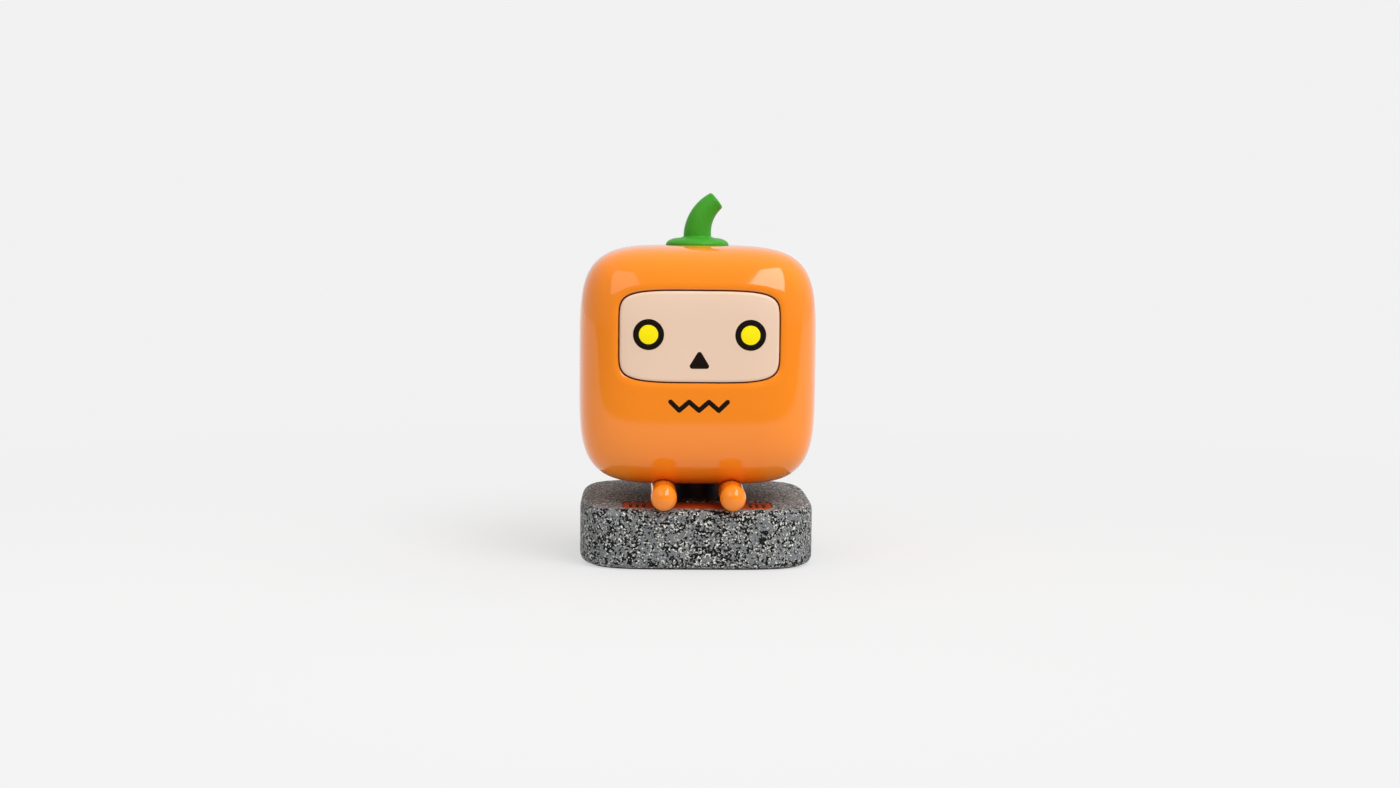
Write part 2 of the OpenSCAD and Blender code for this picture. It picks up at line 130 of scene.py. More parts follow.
class ToyColours(bpy.types.PropertyGroup):
    vinyl: colour("Vinyl", "Solid colour of the body and legs", 0.93, 0.25, 0.012)
    cream: colour("Cream", "Colour of the face panel", 0.81, 0.58, 0.43)
    black: colour("Black", "Colour of the eye rings, nose and mouth", 0.008, 0.004, 0.002)
    yellow: colour("Yellow", "Colour of the eye discs", 1.0, 0.8, 0.003)
    green: colour("Green", "Colour of the stem", 0.045, 0.33, 0.014)
    stone: colour("Stone", "Ground colour of the base", 0.182, 0.19, 0.196)
    dark_speck: colour("Dark speck", "Colour of the base's dark specks", 0.006, 0.006, 0.007)
    pale_speck: colour("Pale speck", "Colour of the base's pale specks", 0.78, 0.72, 0.64)
    # The nameplate's real orange, darkened to paint in the shade that falls on it under the body.
    plate: colour("Plate", "Colour of the nameplate", 0.4, 0.055, 0.005)
    # Painted shade: a dark red band laid round the face panel, standing for the shadow in the gap; it
    # is no real gasket.
    painted_gap_shade: colour("Painted gap shade", "Colour of the gasket round the face panel", 0.05, 0.008, 0.002)
    grey: colour("Grey", "Colour of the seat post", 0.03, 0.03, 0.035)
    floor: colour("Floor", "Colour of the studio floor", 0.68, 0.68, 0.68)


# ---- the forms that pieces share ----


def signed_pow(value, power):
    return math.copysign(abs(value) ** power, value)


class Form:
    """A rounded cube: the body's form."""

    def __init__(self, centre, half, power):
        self.centre, self.half, self.power = Vector(centre), Vector(half), power

    def fullness(self, point):
        """1 on the surface, less inside, more outside."""
        offset = Vector(point) - self.centre
        return sum(abs(offset[k] / self.half[k]) ** self.power for k in range(3))

    def toward(self, direction):
        """The surface point in a direction from the centre."""
        full = sum(abs(direction[k] / self.half[k]) ** self.power for k in range(3))
        return self.centre + Vector(direction) / full ** (1 / self.power)

    def normal(self, point):
        offset = Vector(point) - self.centre
        slope = [
            signed_pow(offset[k] / self.half[k], self.power - 1) / self.half[k] for k in range(3)
        ]
        return Vector(slope).normalized()

    def reach(self, axis, across, up):
        """How far the surface lies from the centre along an axis, at two other offsets."""
        others = [k for k in range(3) if k != axis]
        full = abs(across / self.half[others[0]]) ** self.power
        full += abs(up / self.half[others[1]]) ** self.power
        return self.half[axis] * max(0.0, 1 - full) ** (1 / self.power)

    def front(self, x, z):
        return self.centre.y - self.reach(1, x - self.centre.x, z - self.centre.z)

    def shrunk(self, inset):
        return Form(self.centre, self.half - Vector((inset,) * 3), self.power)


def body_form():
    low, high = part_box("body_shell")
    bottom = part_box("base_block")[1].z + BODY_GAP
    centre = Vector(((low.x + high.x) / 2, (low.y + high.y) / 2, (bottom + high.z) / 2))
    return Form(centre, (high.x - centre.x, high.y - centre.y, high.z - centre.z), BODY_POWER)


BODY = body_form()


def spaced(points, count):
    """The same closed outline with its points an even distance apart."""
    steps = [(Vector(points[k]) - Vector(points[k - 1])).length for k in range(len(points))]
    steps = steps[1:] + steps[:1]
    total, result, k, gone = sum(steps), [], 0, 0.0
    for i in range(count):
        want = total * i / count
        while gone + steps[k] < want:
            gone += steps[k]
            k += 1
        start, end = Vector(points[k]), Vector(points[(k + 1) % len(points)])
        result.append(tuple(start.lerp(end, (want - gone) / steps[k])))
    return result


def squircle(half_u, half_v, power_u, power_v, count):
    """Closed rounded-square outline with its own squareness along each axis."""
    dense = []
    for k in range(8 * count):
        u, v = math.cos(TURN * k / (8 * count)), math.sin(TURN * k / (8 * count))
        near, far = 0.0, 2 * (half_u + half_v)
        for _ in range(40):
            middle = (near + far) / 2
            full = abs(middle * u / half_u) ** power_u + abs(middle * v / half_v) ** power_v
            near, far = (middle, far) if full < 1 else (near, middle)
        dense.append((near * u, near * v))
    return spaced(dense, count)


def grown(points, growth):
    """A closed anticlockwise outline moved outward."""
    result = []
    for k, (u, v) in enumerate(points):
        (u0, v0), (u1, v1) = points[k - 1], points[(k + 1) % len(points)]
        across = math.hypot(u1 - u0, v1 - v0)
        result.append((u + growth * (v1 - v0) / across, v - growth * (u1 - u0) / across))
    return result


def arc(centre, radius, start, sweep, steps):
    return [
        (centre[0] + radius * math.cos(start + sweep * k / steps),
         centre[1] + radius * math.sin(start + sweep * k / steps))
        for k in range(steps + 1)
    ]


def circle(radius, count, centre=(0, 0)):
    return arc(centre, radius, 0, TURN, count)[:-1]


def heading(start, end):
    return math.atan2(end[1] - start[1], end[0] - start[0])


def turn_between(before, after):
    return (after - before + 3 * math.pi) % TURN - math.pi


def rounded(corners, radius, steps=8):
    """Outline with round corners about anticlockwise corner centres."""
    result, count = [], len(corners)
    for k, corner in enumerate(corners):
        before = heading(corners[k - 1], corner)
        after = heading(corner, corners[(k + 1) % count])
        result += arc(corner, radius, before - math.pi / 2, turn_between(before, after), steps)
    return result


def ribbon(points, width):
    """Outline of a line along points, with round ends and round outer bends."""
    half, sides = width / 2, {1: [], -1: []}
    for k in range(1, len(points) - 1):
        before, after = heading(points[k - 1], points[k]), heading(points[k], points[k + 1])
        turn = turn_between(before, after)
        for side in sides:
            out = before + turn / 2 + side * math.pi / 2
            if side * turn > 0:
                reach = half / math.cos(turn / 2)
                corner = (points[k][0] + reach * math.cos(out), points[k][1] + reach * math.sin(out))
                sides[side].append(corner)
            else:
                sides[side] += arc(points[k], half, before + side * math.pi / 2, turn, 8)
    last, first = heading(points[-2], points[-1]), heading(points[0], points[1])
    end = arc(points[-1], half, last + math.pi / 2, -math.pi, 12)
    start = arc(points[0], half, first - math.pi / 2, -math.pi, 12)
    return (sides[1] + end + sides[-1][::-1] + start)[::-1]


def round_rect(half_u, half_v, radius):
    u, v = half_u - radius, half_v - radius
    return rounded([(-u, -v), (u, -v), (u, v), (-u, v)], radius)


# ---- mesh work ----


def loft(bm, rings):
    """Skin through rings that all have the same number of points; returns the faces."""
    known = set(bm.faces)
    ring = bmesh.ops.create_circle(bm, segments=len(rings[0]), radius=1)["verts"]
    for vert, point in zip(ring, rings[0]):
        vert.co = point
    for points in rings[1:]:
        edges = [bm.edges.get((ring[k - 1], ring[k])) for k in range(len(ring))]
        made = bmesh.ops.extrude_edge_only(bm, edges=edges)["geom"]
        fresh = {v for v in made if isinstance(v, bmesh.types.BMVert)}
        ring = [
            next(e.other_vert(v) for e in v.link_edges if e.other_vert(v) in fresh) for v in ring
        ]
        for vert, point in zip(ring, points):
            vert.co = point
    return [face for face in bm.faces if face not in known]


def settle(bm):
    """Merges doubles and turns the faces outward."""
    bmesh.ops.remove_doubles(bm, verts=bm.verts, dist=MERGE)
    bmesh.ops.dissolve_degenerate(bm, edges=bm.edges, dist=MERGE)
    bmesh.ops.recalc_face_normals(bm, faces=bm.faces)


def level_ring(outline, z):
    return [Vector((u, v, z)) for u, v in outline]


def turned_rings(profile, count):
    """Rings of a profile of (radius, height) turned about the Z axis."""
    return [level_ring(circle(max(radius, 0), count), z) for radius, z in profile]


def tablet(outline, place, thickness, edge=0.0, hole=None):
    """A flat piece cut to an outline; place(u, v, depth) puts each of its points."""
    bm = bmesh.new()
    rims = []
    for border in [outline] + ([hole] if hole else []):
        ring = bmesh.ops.create_circle(bm, segments=len(border), radius=1)["verts"]
        for vert, (u, v) in zip(ring, border):
            vert.co = (u, v, 0)
        rims += [bm.edges.get((ring[k - 1], ring[k])) for k in range(len(ring))]
    if hole:
        bmesh.ops.bridge_loops(bm, edges=rims)
    else:
        bmesh.ops.edgeloop_fill(bm, edges=rims)
    back = bmesh.ops.extrude_face_region(bm, geom=bm.faces[:], use_keep_orig=True)["geom"]
    deep = [v for v in back if isinstance(v, bmesh.types.BMVert)]
    bmesh.ops.translate(bm, verts=deep, vec=(0, 0, -thickness))
    settle(bm)
    if edge:
        top = [
            e for e in bm.edges
            if all(v.co.z > -MERGE for v in e.verts) and e.calc_face_angle(0) > 1
        ]
        bmesh.ops.bevel(
            bm, geom=top, offset=edge, segments=3, profile=0.5, affect="EDGES", material=-1
        )
    for vert in bm.verts:
        vert.co = place(vert.co.x, vert.co.y, -vert.co.z)
    bmesh.ops.recalc_face_normals(bm, faces=bm.faces)
    return bm


def on_front(sink):
    """Puts a tablet on the body's front, its face sunk below the surface."""
    return lambda u, v, depth: Vector((u, BODY.front(u, v) + sink + depth, v))


def join(bm, other):
    """Moves all of another bmesh into this one."""
    mesh = bpy.data.meshes.new("joined")
    other.to_mesh(mesh)
    other.free()
    bm.from_mesh(mesh)
    bpy.data.meshes.remove(mesh)


def new_object(bm, name):
    mesh = bpy.data.meshes.new(name)
    bm.to_mesh(mesh)
    bm.free()
    piece = bpy.data.objects.new(name, mesh)
    bpy.context.scene.collection.objects.link(piece)
    return piece


def carve(piece, cutters):
    """Takes each cutter's solid out of a piece."""
    tools = [new_object(bm, f"cutter_{k}") for k, bm in enumerate(cutters)]
    for tool in tools:
        cut = piece.modifiers.new(tool.name, "BOOLEAN")
        cut.operation = "DIFFERENCE"
        cut.solver = "EXACT"
        cut.object = tool
    piece.data = bpy.data.meshes.new_from_object(
        piece.evaluated_get(bpy.context.evaluated_depsgraph_get())
    )
    piece.modifiers.clear()
    for tool in tools:
        bpy.data.objects.remove(tool)


def smooth(piece, form=None):
    """Smooth shading with crisp edges; where the mesh lies on a form, with the form's normals."""
    mesh = piece.data
    mesh.shade_smooth()
    mesh.set_sharp_from_angle(angle=SHARP)
    if form is None:
        return
    close, facing = 3e-4, 0.97
    known = {}
    for vert in mesh.vertices:
        if abs(form.fullness(vert.co) - 1) < close:
            known[vert.index] = form.normal(vert.co)
    normals = [Vector()] * len(mesh.loops)
    for face in mesh.polygons:
        for corner in face.loop_indices:
            normal = known.get(mesh.loops[corner].vertex_index)
            if normal is not None and normal.dot(face.normal) > facing:
                normals[corner] = normal
    mesh.normals_split_custom_set(normals)


def hand_over(piece, finish, body, slot, *nodes):
    """Gives a finished piece its material and its body, and hides the nodes that it stands for; the
    slot it is handed is not used.
    """
    piece.data.materials.clear()
    piece.data.materials.append(finish)
    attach(piece, body)
    if nodes:
        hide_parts(*nodes)
    return piece


def repaint(finish, *nodes):
    """Gives nodes that keep their own shape a finish."""
    for name in nodes:
        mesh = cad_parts[name].data
        mesh.materials.clear()
        mesh.materials.append(finish)


# ---- finishes ----


class Wire:
    """An output socket that arithmetic can be done on."""

    def __init__(self, finish, socket):
        self.finish, self.socket = finish, socket

    def maths(self, operation, *values, clamp=False):
        settings = {"operation": operation, "use_clamp": clamp}
        return self.finish.node("ShaderNodeMath", settings, dict(enumerate(values)))

    def __add__(self, other):
        return self.maths("ADD", self, other)

    def __radd__(self, other):
        return self.maths("ADD", other, self)

    def __sub__(self, other):
        return self.maths("SUBTRACT", self, other)

    def __rsub__(self, other):
        return self.maths("SUBTRACT", other, self)

    def __mul__(self, other):
        return self.maths("MULTIPLY", self, other)

    def __rmul__(self, other):
        return self.maths("MULTIPLY", other, self)

    def clamped(self):
        return self.maths("ADD", self, 0, clamp=True)


class Finish:
    """A material, or the world, whose nodes are added by one call each."""

    def __init__(self, owner):
        owner.use_nodes = True
        self.owner, self.tree = owner, owner.node_tree
        self.tree.nodes.clear()

    def node(self, kind, settings=None, values=None, output=0):
        node = self.tree.nodes.new(kind)
        for name, value in (settings or {}).items():
            if name == "stops":
                for k, (position, shade) in enumerate(value):
                    stops = node.color_ramp.elements
                    stop = stops[k] if k < 2 else stops.new(position)
                    stop.position, stop.color = position, shade
            else:
                setattr(node, name, value)
        for name, value in (values or {}).items():
            if isinstance(value, Wire):
                self.tree.links.new(value.socket, node.inputs[name])
            else:
                node.inputs[name].default_value = value
        return Wire(self, node.outputs[output])

    def place(self):
        return self.node("ShaderNodeTexCoord", output="Object")

    def noise(self, place, per_metre, detail=2.0, output="Fac", **values):
        sockets = {"Vector": place, "Scale": per_metre, "Detail": detail, **values}
        return self.node("ShaderNodeTexNoise", None, sockets, output)

    def step(self, value, start, end):
        """0 where the value is at start, 1 at end, with a short soft slope between."""
        settings = {"interpolation_type": "SMOOTHSTEP"}
        return self.node("ShaderNodeMapRange", settings,
                         {"Value": value, "From Min": start, "From Max": end})

    def blend(self, share, first, second):
        """Mixes two colours, through the mix node's colour sockets."""
        settings = {"data_type": "RGBA"}
        return self.node("ShaderNodeMix", settings, {0: share, 6: first, 7: second}, 2)

    def shifted(self, place, push, amount):
        """Coordinates pushed about by a coloured noise."""
        centred = self.node("ShaderNodeVectorMath", {"operation": "SUBTRACT"},
                            {0: push, 1: (0.5, 0.5, 0.5)})
        scaled = self.node("ShaderNodeVectorMath", {"operation": "SCALE"},
                           {0: centred, "Scale": amount})
        return self.node("ShaderNodeVectorMath", {"operation": "ADD"}, {0: place, 1: scaled})

    def bump(self, height, distance, strength):
        values = {"Height": height, "Distance": distance, "Strength": strength}
        return self.node("ShaderNodeBump", None, values)

    def surface(self, shader):
        world = isinstance(self.owner, bpy.types.World)
        end = self.tree.nodes.new("ShaderNodeOutputWorld" if world else "ShaderNodeOutputMaterial")
        self.tree.links.new(shader.socket, end.inputs["Surface"])
        return self.owner

    def solid(self, **values):
        """Ends the material in one principled shader."""
        sockets = {name.replace("_", " "): value for name, value in values.items()}
        return self.surface(self.node("ShaderNodeBsdfPrincipled", None, sockets))


def rgba(colour, share=1.0):
    return tuple(min(1.0, channel * share) for channel in colour) + (1.0,)


def material(name):
    return Finish(bpy.data.materials.new(name))


_made = {}


def finish(name):
    """The finish with that name, made once."""
    if name not in _made:
        _made[name] = FINISHES[name](material(name))
    return _made[name]


def vinyl(f):
    tint = bpy.context.scene.toy_colours.vinyl
    place = f.place()
    cloud = f.noise(place, 45, 3)
    peel = f.noise(place, 700, 2)
    return f.solid(
        Base_Color=f.blend(cloud, rgba(tint, 0.97), rgba(tint, 1.03)),
        Roughness=0.05 + 0.07 * f.noise(place, 160, 3),
        IOR=1.54,
        Normal=f.bump(peel, 0.00001, 0.35),
    )


def cream(f):
    tint = bpy.context.scene.toy_colours.cream
    place = f.place()
    return f.solid(
        Base_Color=f.blend(f.noise(place, 60, 3), rgba(tint, 0.98), rgba(tint, 1.02)),
        Roughness=0.42 + 0.1 * f.noise(place, 300, 2),
        Normal=f.bump(f.noise(place, 1800, 2), 0.00001, 0.5),
    )


def black(f):
    tint = bpy.context.scene.toy_colours.black
    place = f.place()
    return f.solid(
        Base_Color=f.blend(f.noise(place, 500, 2), rgba(tint, 0.8), rgba(tint, 1.3)),
        Roughness=0.45 + 0.12 * f.noise(place, 400, 2),
        Specular_IOR_Level=0.1,
        Normal=f.bump(f.noise(place, 1500, 2), 0.00001, 0.4),
    )


def yellow(f):
    tint = bpy.context.scene.toy_colours.yellow
    place = f.place()
    return f.solid(
        Base_Color=f.blend(f.noise(place, 400, 2), rgba(tint, 0.97), rgba(tint, 1.03)),
        Roughness=0.4 + 0.1 * f.noise(place, 400, 2),
        Specular_IOR_Level=0.15,
        Normal=f.bump(f.noise(place, 1500, 2), 0.00001, 0.4),
    )


# Painted shade: the nameplate's orange is darkened for the shade it lies in under the body.
def plate_orange_and_shade(f):
    tint = bpy.context.scene.toy_colours.plate
    place = f.place()
    return f.solid(
        Base_Color=f.blend(f.noise(place, 500, 2), rgba(tint, 0.85), rgba(tint, 1.15)),
        Roughness=0.6 + 0.12 * f.noise(place, 400, 2),
        Specular_IOR_Level=0.12,
        Normal=f.bump(f.noise(place, 1300, 2), 0.00002, 0.4),
    )


# Painted shade: the dark red of the band that stands for the shadow in the gap round the face panel.
def painted_gap_shade(f):
    tint = bpy.context.scene.toy_colours.painted_gap_shade
    place = f.place()
    return f.solid(
        Base_Color=f.blend(f.noise(place, 500, 2), rgba(tint, 0.8), rgba(tint, 1.2)),
        Roughness=0.6 + 0.1 * f.noise(place, 400, 2),
        Specular_IOR_Level=0.1,
    )


def green(f):
    tint = bpy.context.scene.toy_colours.green
    place = f.place()
    return f.solid(
        Base_Color=f.blend(f.noise(place, 120, 3), rgba(tint, 0.9), rgba(tint, 1.1)),
        Roughness=0.36 + 0.12 * f.noise(place, 300, 2),
        Specular_IOR_Level=0.25,
        Normal=f.bump(f.noise(place, 1200, 2), 0.00002, 0.4),
    )


def stone(f):
    shades = bpy.context.scene.toy_colours
    place = f.place()
    patch = f.noise(place, 430, 2)
    grit = f.noise(f.shifted(place, f.noise(place, 700, 1, "Color"), 0.0008), 1250, 2)
    glints = f.noise(f.shifted(place, (0.2, 0.7, 0.4), 0.05), 1500, 2)
    dark = f.step(grit + 0.55 * patch, 0.765, 0.73)
    pale = f.step(glints - 0.4 * patch, 0.365, 0.405)
    ground = f.blend(f.noise(place, 300, 3), rgba(shades.stone, 0.8), rgba(shades.stone, 1.2))
    toned = f.blend(f.noise(place, 800, 1), rgba(shades.pale_speck, 0.6), rgba(shades.pale_speck, 1.4))
    speckled = f.blend(pale, ground, toned)
    relief = f.noise(place, 500, 4)
    return f.solid(
        Base_Color=f.blend(dark, speckled, rgba(shades.dark_speck)),
        Roughness=0.6 - 0.15 * dark + 0.1 * relief,
        Specular_IOR_Level=0.12,
        Normal=f.bump(relief + 0.4 * grit, 0.00012, 0.6),
    )


def rubber(f):
    place = f.place()
    return f.solid(
        Base_Color=f.blend(f.noise(place, 300, 3), (0.012, 0.012, 0.012, 1), (0.03, 0.03, 0.03, 1)),
        Roughness=0.75 + 0.15 * f.noise(place, 500, 2),
        Normal=f.bump(f.noise(place, 1500, 3), 0.00006, 0.6),
    )


def grey(f):
    tint = bpy.context.scene.toy_colours.grey
    place = f.place()
    return f.solid(
        Base_Color=f.blend(f.noise(place, 300, 3), rgba(tint, 0.8), rgba(tint, 1.25)),
        Roughness=0.45 + 0.15 * f.noise(place, 400, 2),
        Normal=f.bump(f.noise(place, 1600, 2), 0.00003, 0.5),
    )


def nickel(f):
    place = f.place()
    scuffs = f.noise(place, 900, 4)
    return f.solid(
        Base_Color=f.blend(scuffs, (0.66, 0.65, 0.62, 1), (0.78, 0.77, 0.75, 1)),
        Metallic=1.0,
        Roughness=0.18 + 0.2 * scuffs,
        Normal=f.bump(f.noise(place, 2500, 2), 0.000005, 0.4),
    )


def nylon(f):
    place = f.place()
    return f.solid(
        Base_Color=f.blend(f.noise(place, 200, 3), (0.72, 0.68, 0.58, 1), (0.8, 0.76, 0.67, 1)),
        Roughness=0.4 + 0.15 * f.noise(place, 400, 2),
        Normal=f.bump(f.noise(place, 1500, 2), 0.00002, 0.5),
    )


FINISHES = {
    "orange_vinyl": vinyl, "cream_plastic": cream, "black_gloss": black,
    "yellow_plastic": yellow, "green_plastic": green, "stone_resin": stone,
    "black_rubber": rubber, "grey_plastic": grey, "magnet_steel": nickel,
    "natural_nylon": nylon, "plate_orange_painted_shade": plate_orange_and_shade, "gap_shade_paint": painted_gap_shade,
}


# ---- pieces ----


class BuildOperator:
    """Common ground of the operators: they run in the 3D view and can be undone."""

    bl_options = {"REGISTER", "UNDO"}

    def execute(self, context):
        self.build(context.scene.toy_sizes)
        return {"FINISHED"}


def panel_opening(sizes):
    """Outline of the face opening about its own middle, and that middle's height."""
    low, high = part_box("face_panel")
    half_u = (high.x - low.x) / 2 + sizes.panel_gap
    half_v = (high.z - low.z) / 2 + sizes.panel_gap
    return half_u, half_v, (low.z + high.z) / 2


def leg_place(side):
    """A leg's x, height, radius, and where its front and back ends lie."""
    low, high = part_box(f"leg_{side}")
    return (low.x + high.x) / 2, (low.z + high.z) / 2, (high.x - low.x) / 2, low.y, high.y


def lying_rings(profile, count, x, z, front):
    """Rings of a profile of (radius, distance back) turned about a line along Y."""
    return [
        [Vector((x + u, front + back, z + v)) for u, v in circle(max(radius, 0), count)]
        for radius, back in profile
    ]


def lying_rod(radius, x, z, front, back):
    bm = bmesh.new()
    profile = [(0, 0), (radius, 0), (radius, back - front), (0, back - front)]
    loft(bm, lying_rings(profile, 128, x, z, front))
    settle(bm)
    return bm


def leg_channel(side):
    x, z, radius, front, back = leg_place(side)
    return lying_rod(radius + SLIDE_GAP, x, z, front, back + SLIDE_GAP)


def pocket_floor(sizes):
    half_u, half_v, middle = panel_opening(sizes)
    outline = squircle(half_u, half_v, *FACE_POWERS, 64)
    return max(BODY.front(u, middle + v) for u, v in outline) + sizes.panel_side


def mouth_outline(sizes, growth=0.0):
    low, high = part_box("mouth")
    half_line = sizes.mouth_line / 2
    rise = (high.z - low.z) / 2 - half_line
    middle = (low.z + high.z) / 2
    end = high.x - half_line
    points = [(-end, middle + rise)]
    points += [(k * MOUTH_PITCH, middle + (rise if k % 2 else -rise)) for k in range(-2, 3)]
    points += [(end, middle + rise)]
    return ribbon(points, sizes.mouth_line + 2 * growth)


def straight_back(front, back):
    """Puts a cutter's points between two depths, with no curve to follow."""
    return lambda u, v, depth: Vector((u, front if depth < MERGE else back, v))


class TOY_OT_body_shell(BuildOperator, bpy.types.Operator):
    """Build the hollow vinyl body with its rolled face opening, stem seat and plug hole"""

    bl_idname = "toy.body_shell"
    bl_label = "Body shell"

    def build(self, sizes):
        sides = 256
        half_u, half_v, middle = panel_opening(sizes)
        mouth_rim = squircle(half_u, half_v, *FACE_POWERS, sides)
        floor = pocket_floor(sizes)
        rings = []
        for share in (0, 0.5, 1):
            rings.append([Vector((share * u, floor, middle + share * v)) for u, v in mouth_rim])
        steps = 9
        for k in range(steps + 1):
            bend = math.pi / 2 * k / steps
            sink = sizes.lip_depth * (1 - math.sin(bend))
            outline = grown(mouth_rim, sizes.lip_width * (1 - math.cos(bend)))
            rings.append([
                Vector((u, BODY.front(u, middle + v) + sink, middle + v)) for u, v in outline
            ])
        waist = squircle(BODY.half.x, BODY.half.z, BODY.power, BODY.power, sides)
        start = [(point - BODY.centre).normalized() for point in rings[-1]]
        side = [Vector((u, 0, v)).normalized() for u, v in waist]
        back = Vector((0, 1, 0))
        for first, last, count in ((start, side, 44), (side, [back] * sides, 44)):
            for k in range(1, count + 1):
                share = k / count
                rings.append([
                    BODY.toward(a.slerp(b, share) if a.dot(b) < 0.9999999 else b)
                    for a, b in zip(first, last)
                ])
        bm = bmesh.new()
        loft(bm, rings)
        settle(bm)
        join(bm, self.inner_wall(sizes, floor, middle - half_v - sizes.wall))
        shell = new_object(bm, "body_shell_looks")
        plug_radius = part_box("closing_plug")[1].x - SNAP_REACH + FIT
        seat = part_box("stem")[0].x
        top, foot = BODY.centre.z + BODY.half.z, BODY.centre.z - BODY.half.z
        cutters = [
            self.bore(plug_radius, foot + PLUG_HOLE[0], foot + PLUG_HOLE[1]),
            self.bore(SPIGOT_RADIUS + FIT, top - SPIGOT_HOLE_DEPTH, top + CUT_PAST),
            self.bore(-seat + sizes.panel_gap, top - SEAT_DROP, top + CUT_PAST),
            tablet(
                mouth_outline(sizes, FIT),
                straight_back(BODY.centre.y - BODY.half.y - CUT_PAST,
                              BODY.front(0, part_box("mouth")[0].z) + sizes.inlay),
                MM,
            ),
            leg_channel("left"),
            leg_channel("right"),
        ]
        carve(shell, cutters)
        smooth(shell, BODY)
        hand_over(shell, finish("orange_vinyl"), "figure", "orange_vinyl", "body_shell")

    @staticmethod
    def inner_wall(sizes, floor, bed_foot):
        """The shell's inside, which keeps a bed behind the face panel, facing inward."""
        inner = BODY.shrunk(sizes.wall)
        bm = bmesh.new()
        bmesh.ops.create_cube(bm, size=1)
        bmesh.ops.subdivide_edges(bm, edges=bm.edges[:], cuts=31, use_grid_fill=True)
        for vert in bm.verts:
            vert.co = inner.toward(vert.co)
            if vert.co.z > bed_foot:
                vert.co.y = max(vert.co.y, floor + sizes.wall)
        bmesh.ops.reverse_faces(bm, faces=bm.faces[:])
        return bm

    @staticmethod
    def bore(radius, bottom, top):
        bm = bmesh.new()
        loft(bm, turned_rings([(0, bottom), (radius, bottom), (radius, top), (0, top)], 128))
        settle(bm)
        return bm


def eye_place(name):
    low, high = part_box(name)
    return (low.x + high.x) / 2, (low.z + high.z) / 2, (high.z - low.z) / 2


def nose_outline(sizes, growth=0.0):
    low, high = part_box("nose")
    r = sizes.nose_corner
    corners = [(low.x + r, low.z + r), (high.x - r, low.z + r), ((low.x + high.x) / 2, high.z - r)]
    return rounded(corners, r + growth)


class TOY_OT_face_panel(BuildOperator, bpy.types.Operator):
    """Build the face panel, which follows the body's form and has pockets for its inlays"""

    bl_idname = "toy.face_panel"
    bl_label = "Face panel"

    def build(self, sizes):
        half_u, half_v, middle = panel_opening(sizes)
        border = squircle(
            half_u - sizes.panel_gap, half_v - sizes.panel_gap, *FACE_POWERS, 224
        )
        flat = grown(border, -sizes.panel_edge)
        skin = BODY.shrunk(sizes.panel_sink)
        rings = []
        for k in range(24):
            share = k / 24
            rings.append([
                Vector((share * u, skin.front(share * u, middle + share * v), middle + share * v))
                for u, v in flat
            ])
        steps = 7
        for k in range(steps + 1):
            bend = math.pi / 2 * k / steps
            outline = grown(border, sizes.panel_edge * (math.sin(bend) - 1))
            drop = sizes.panel_edge / 2 * (1 - math.cos(bend))
            rings.append([
                Vector((u, skin.front(u, middle + v) + drop, middle + v)) for u, v in outline
            ])
        floor = pocket_floor(sizes) - FIT
        for share in (1, 0.5, 0):
            rings.append([Vector((share * u, floor, middle + share * v)) for u, v in border])
        bm = bmesh.new()
        loft(bm, rings)
        settle(bm)
        panel = new_object(bm, "face_panel_looks")
        front = BODY.centre.y - BODY.half.y - CUT_PAST
        cutters = []
        for side in ("left", "right"):
            u, v, radius = eye_place(f"eye_ring_{side}")
            back = skin.front(u, v) + sizes.inlay
            hole = circle(radius + FIT, 96, (u, v))
            cutters.append(tablet(hole, straight_back(front, back), MM))
        back = skin.front(0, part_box("nose")[0].z) + sizes.inlay
        cutters.append(tablet(nose_outline(sizes, FIT), straight_back(front, back), MM))
        carve(panel, cutters)
        smooth(panel, skin)
        hand_over(panel, finish("cream_plastic"), "figure", "cream_plastic", "face_panel")
        # The dark band laid in the gap round the panel is painted shade: it stands for the shadow in
        # the gap.
        lifted = [(u, middle + v) for u, v in border]
        outer, inner = grown(lifted, sizes.panel_gap - FIT), grown(lifted, FIT)
        sink = sizes.panel_sink + sizes.panel_edge / 2 + FIT
        gap_shade_band = new_object(tablet(outer, on_front(sink), MM, hole=inner), "panel_gap_shade_looks")
        smooth(gap_shade_band)
        hand_over(gap_shade_band, finish("gap_shade_paint"), "figure", "black_gloss")


class TOY_OT_face_inlays(BuildOperator, bpy.types.Operator):
    """Build the eyes, nose and mouth, laid flush in their pockets"""

    bl_idname = "toy.face_inlays"
    bl_label = "Eyes, nose and mouth"

    def build(self, sizes):
        on_panel = on_front(sizes.panel_sink + FIT)
        thickness = sizes.inlay - 4 * FIT
        for side in ("left", "right"):
            u, v, outer = eye_place(f"eye_ring_{side}")
            inner = eye_place(f"eye_disc_{side}")[2]
            ring = tablet(
                circle(outer, 96, (u, v)), on_panel, thickness, sizes.inlay_edge,
                circle(inner + FIT, 96, (u, v)),
            )
            disc = tablet(circle(inner, 96, (u, v)), on_panel, thickness, sizes.inlay_edge)
            self.lay(ring, f"eye_ring_{side}", "black_gloss")
            self.lay(disc, f"eye_disc_{side}", "yellow_plastic")
        self.lay(
            tablet(nose_outline(sizes), on_panel, thickness, sizes.inlay_edge),
            "nose", "black_gloss",
        )
        self.lay(
            tablet(mouth_outline(sizes), on_front(FIT), thickness, sizes.inlay_edge),
            "mouth", "black_gloss",
        )

    @staticmethod
    def lay(bm, node, slot):
        piece = new_object(bm, f"{node}_looks")
        smooth(piece)
        hand_over(piece, finish(slot), "figure", slot, node)


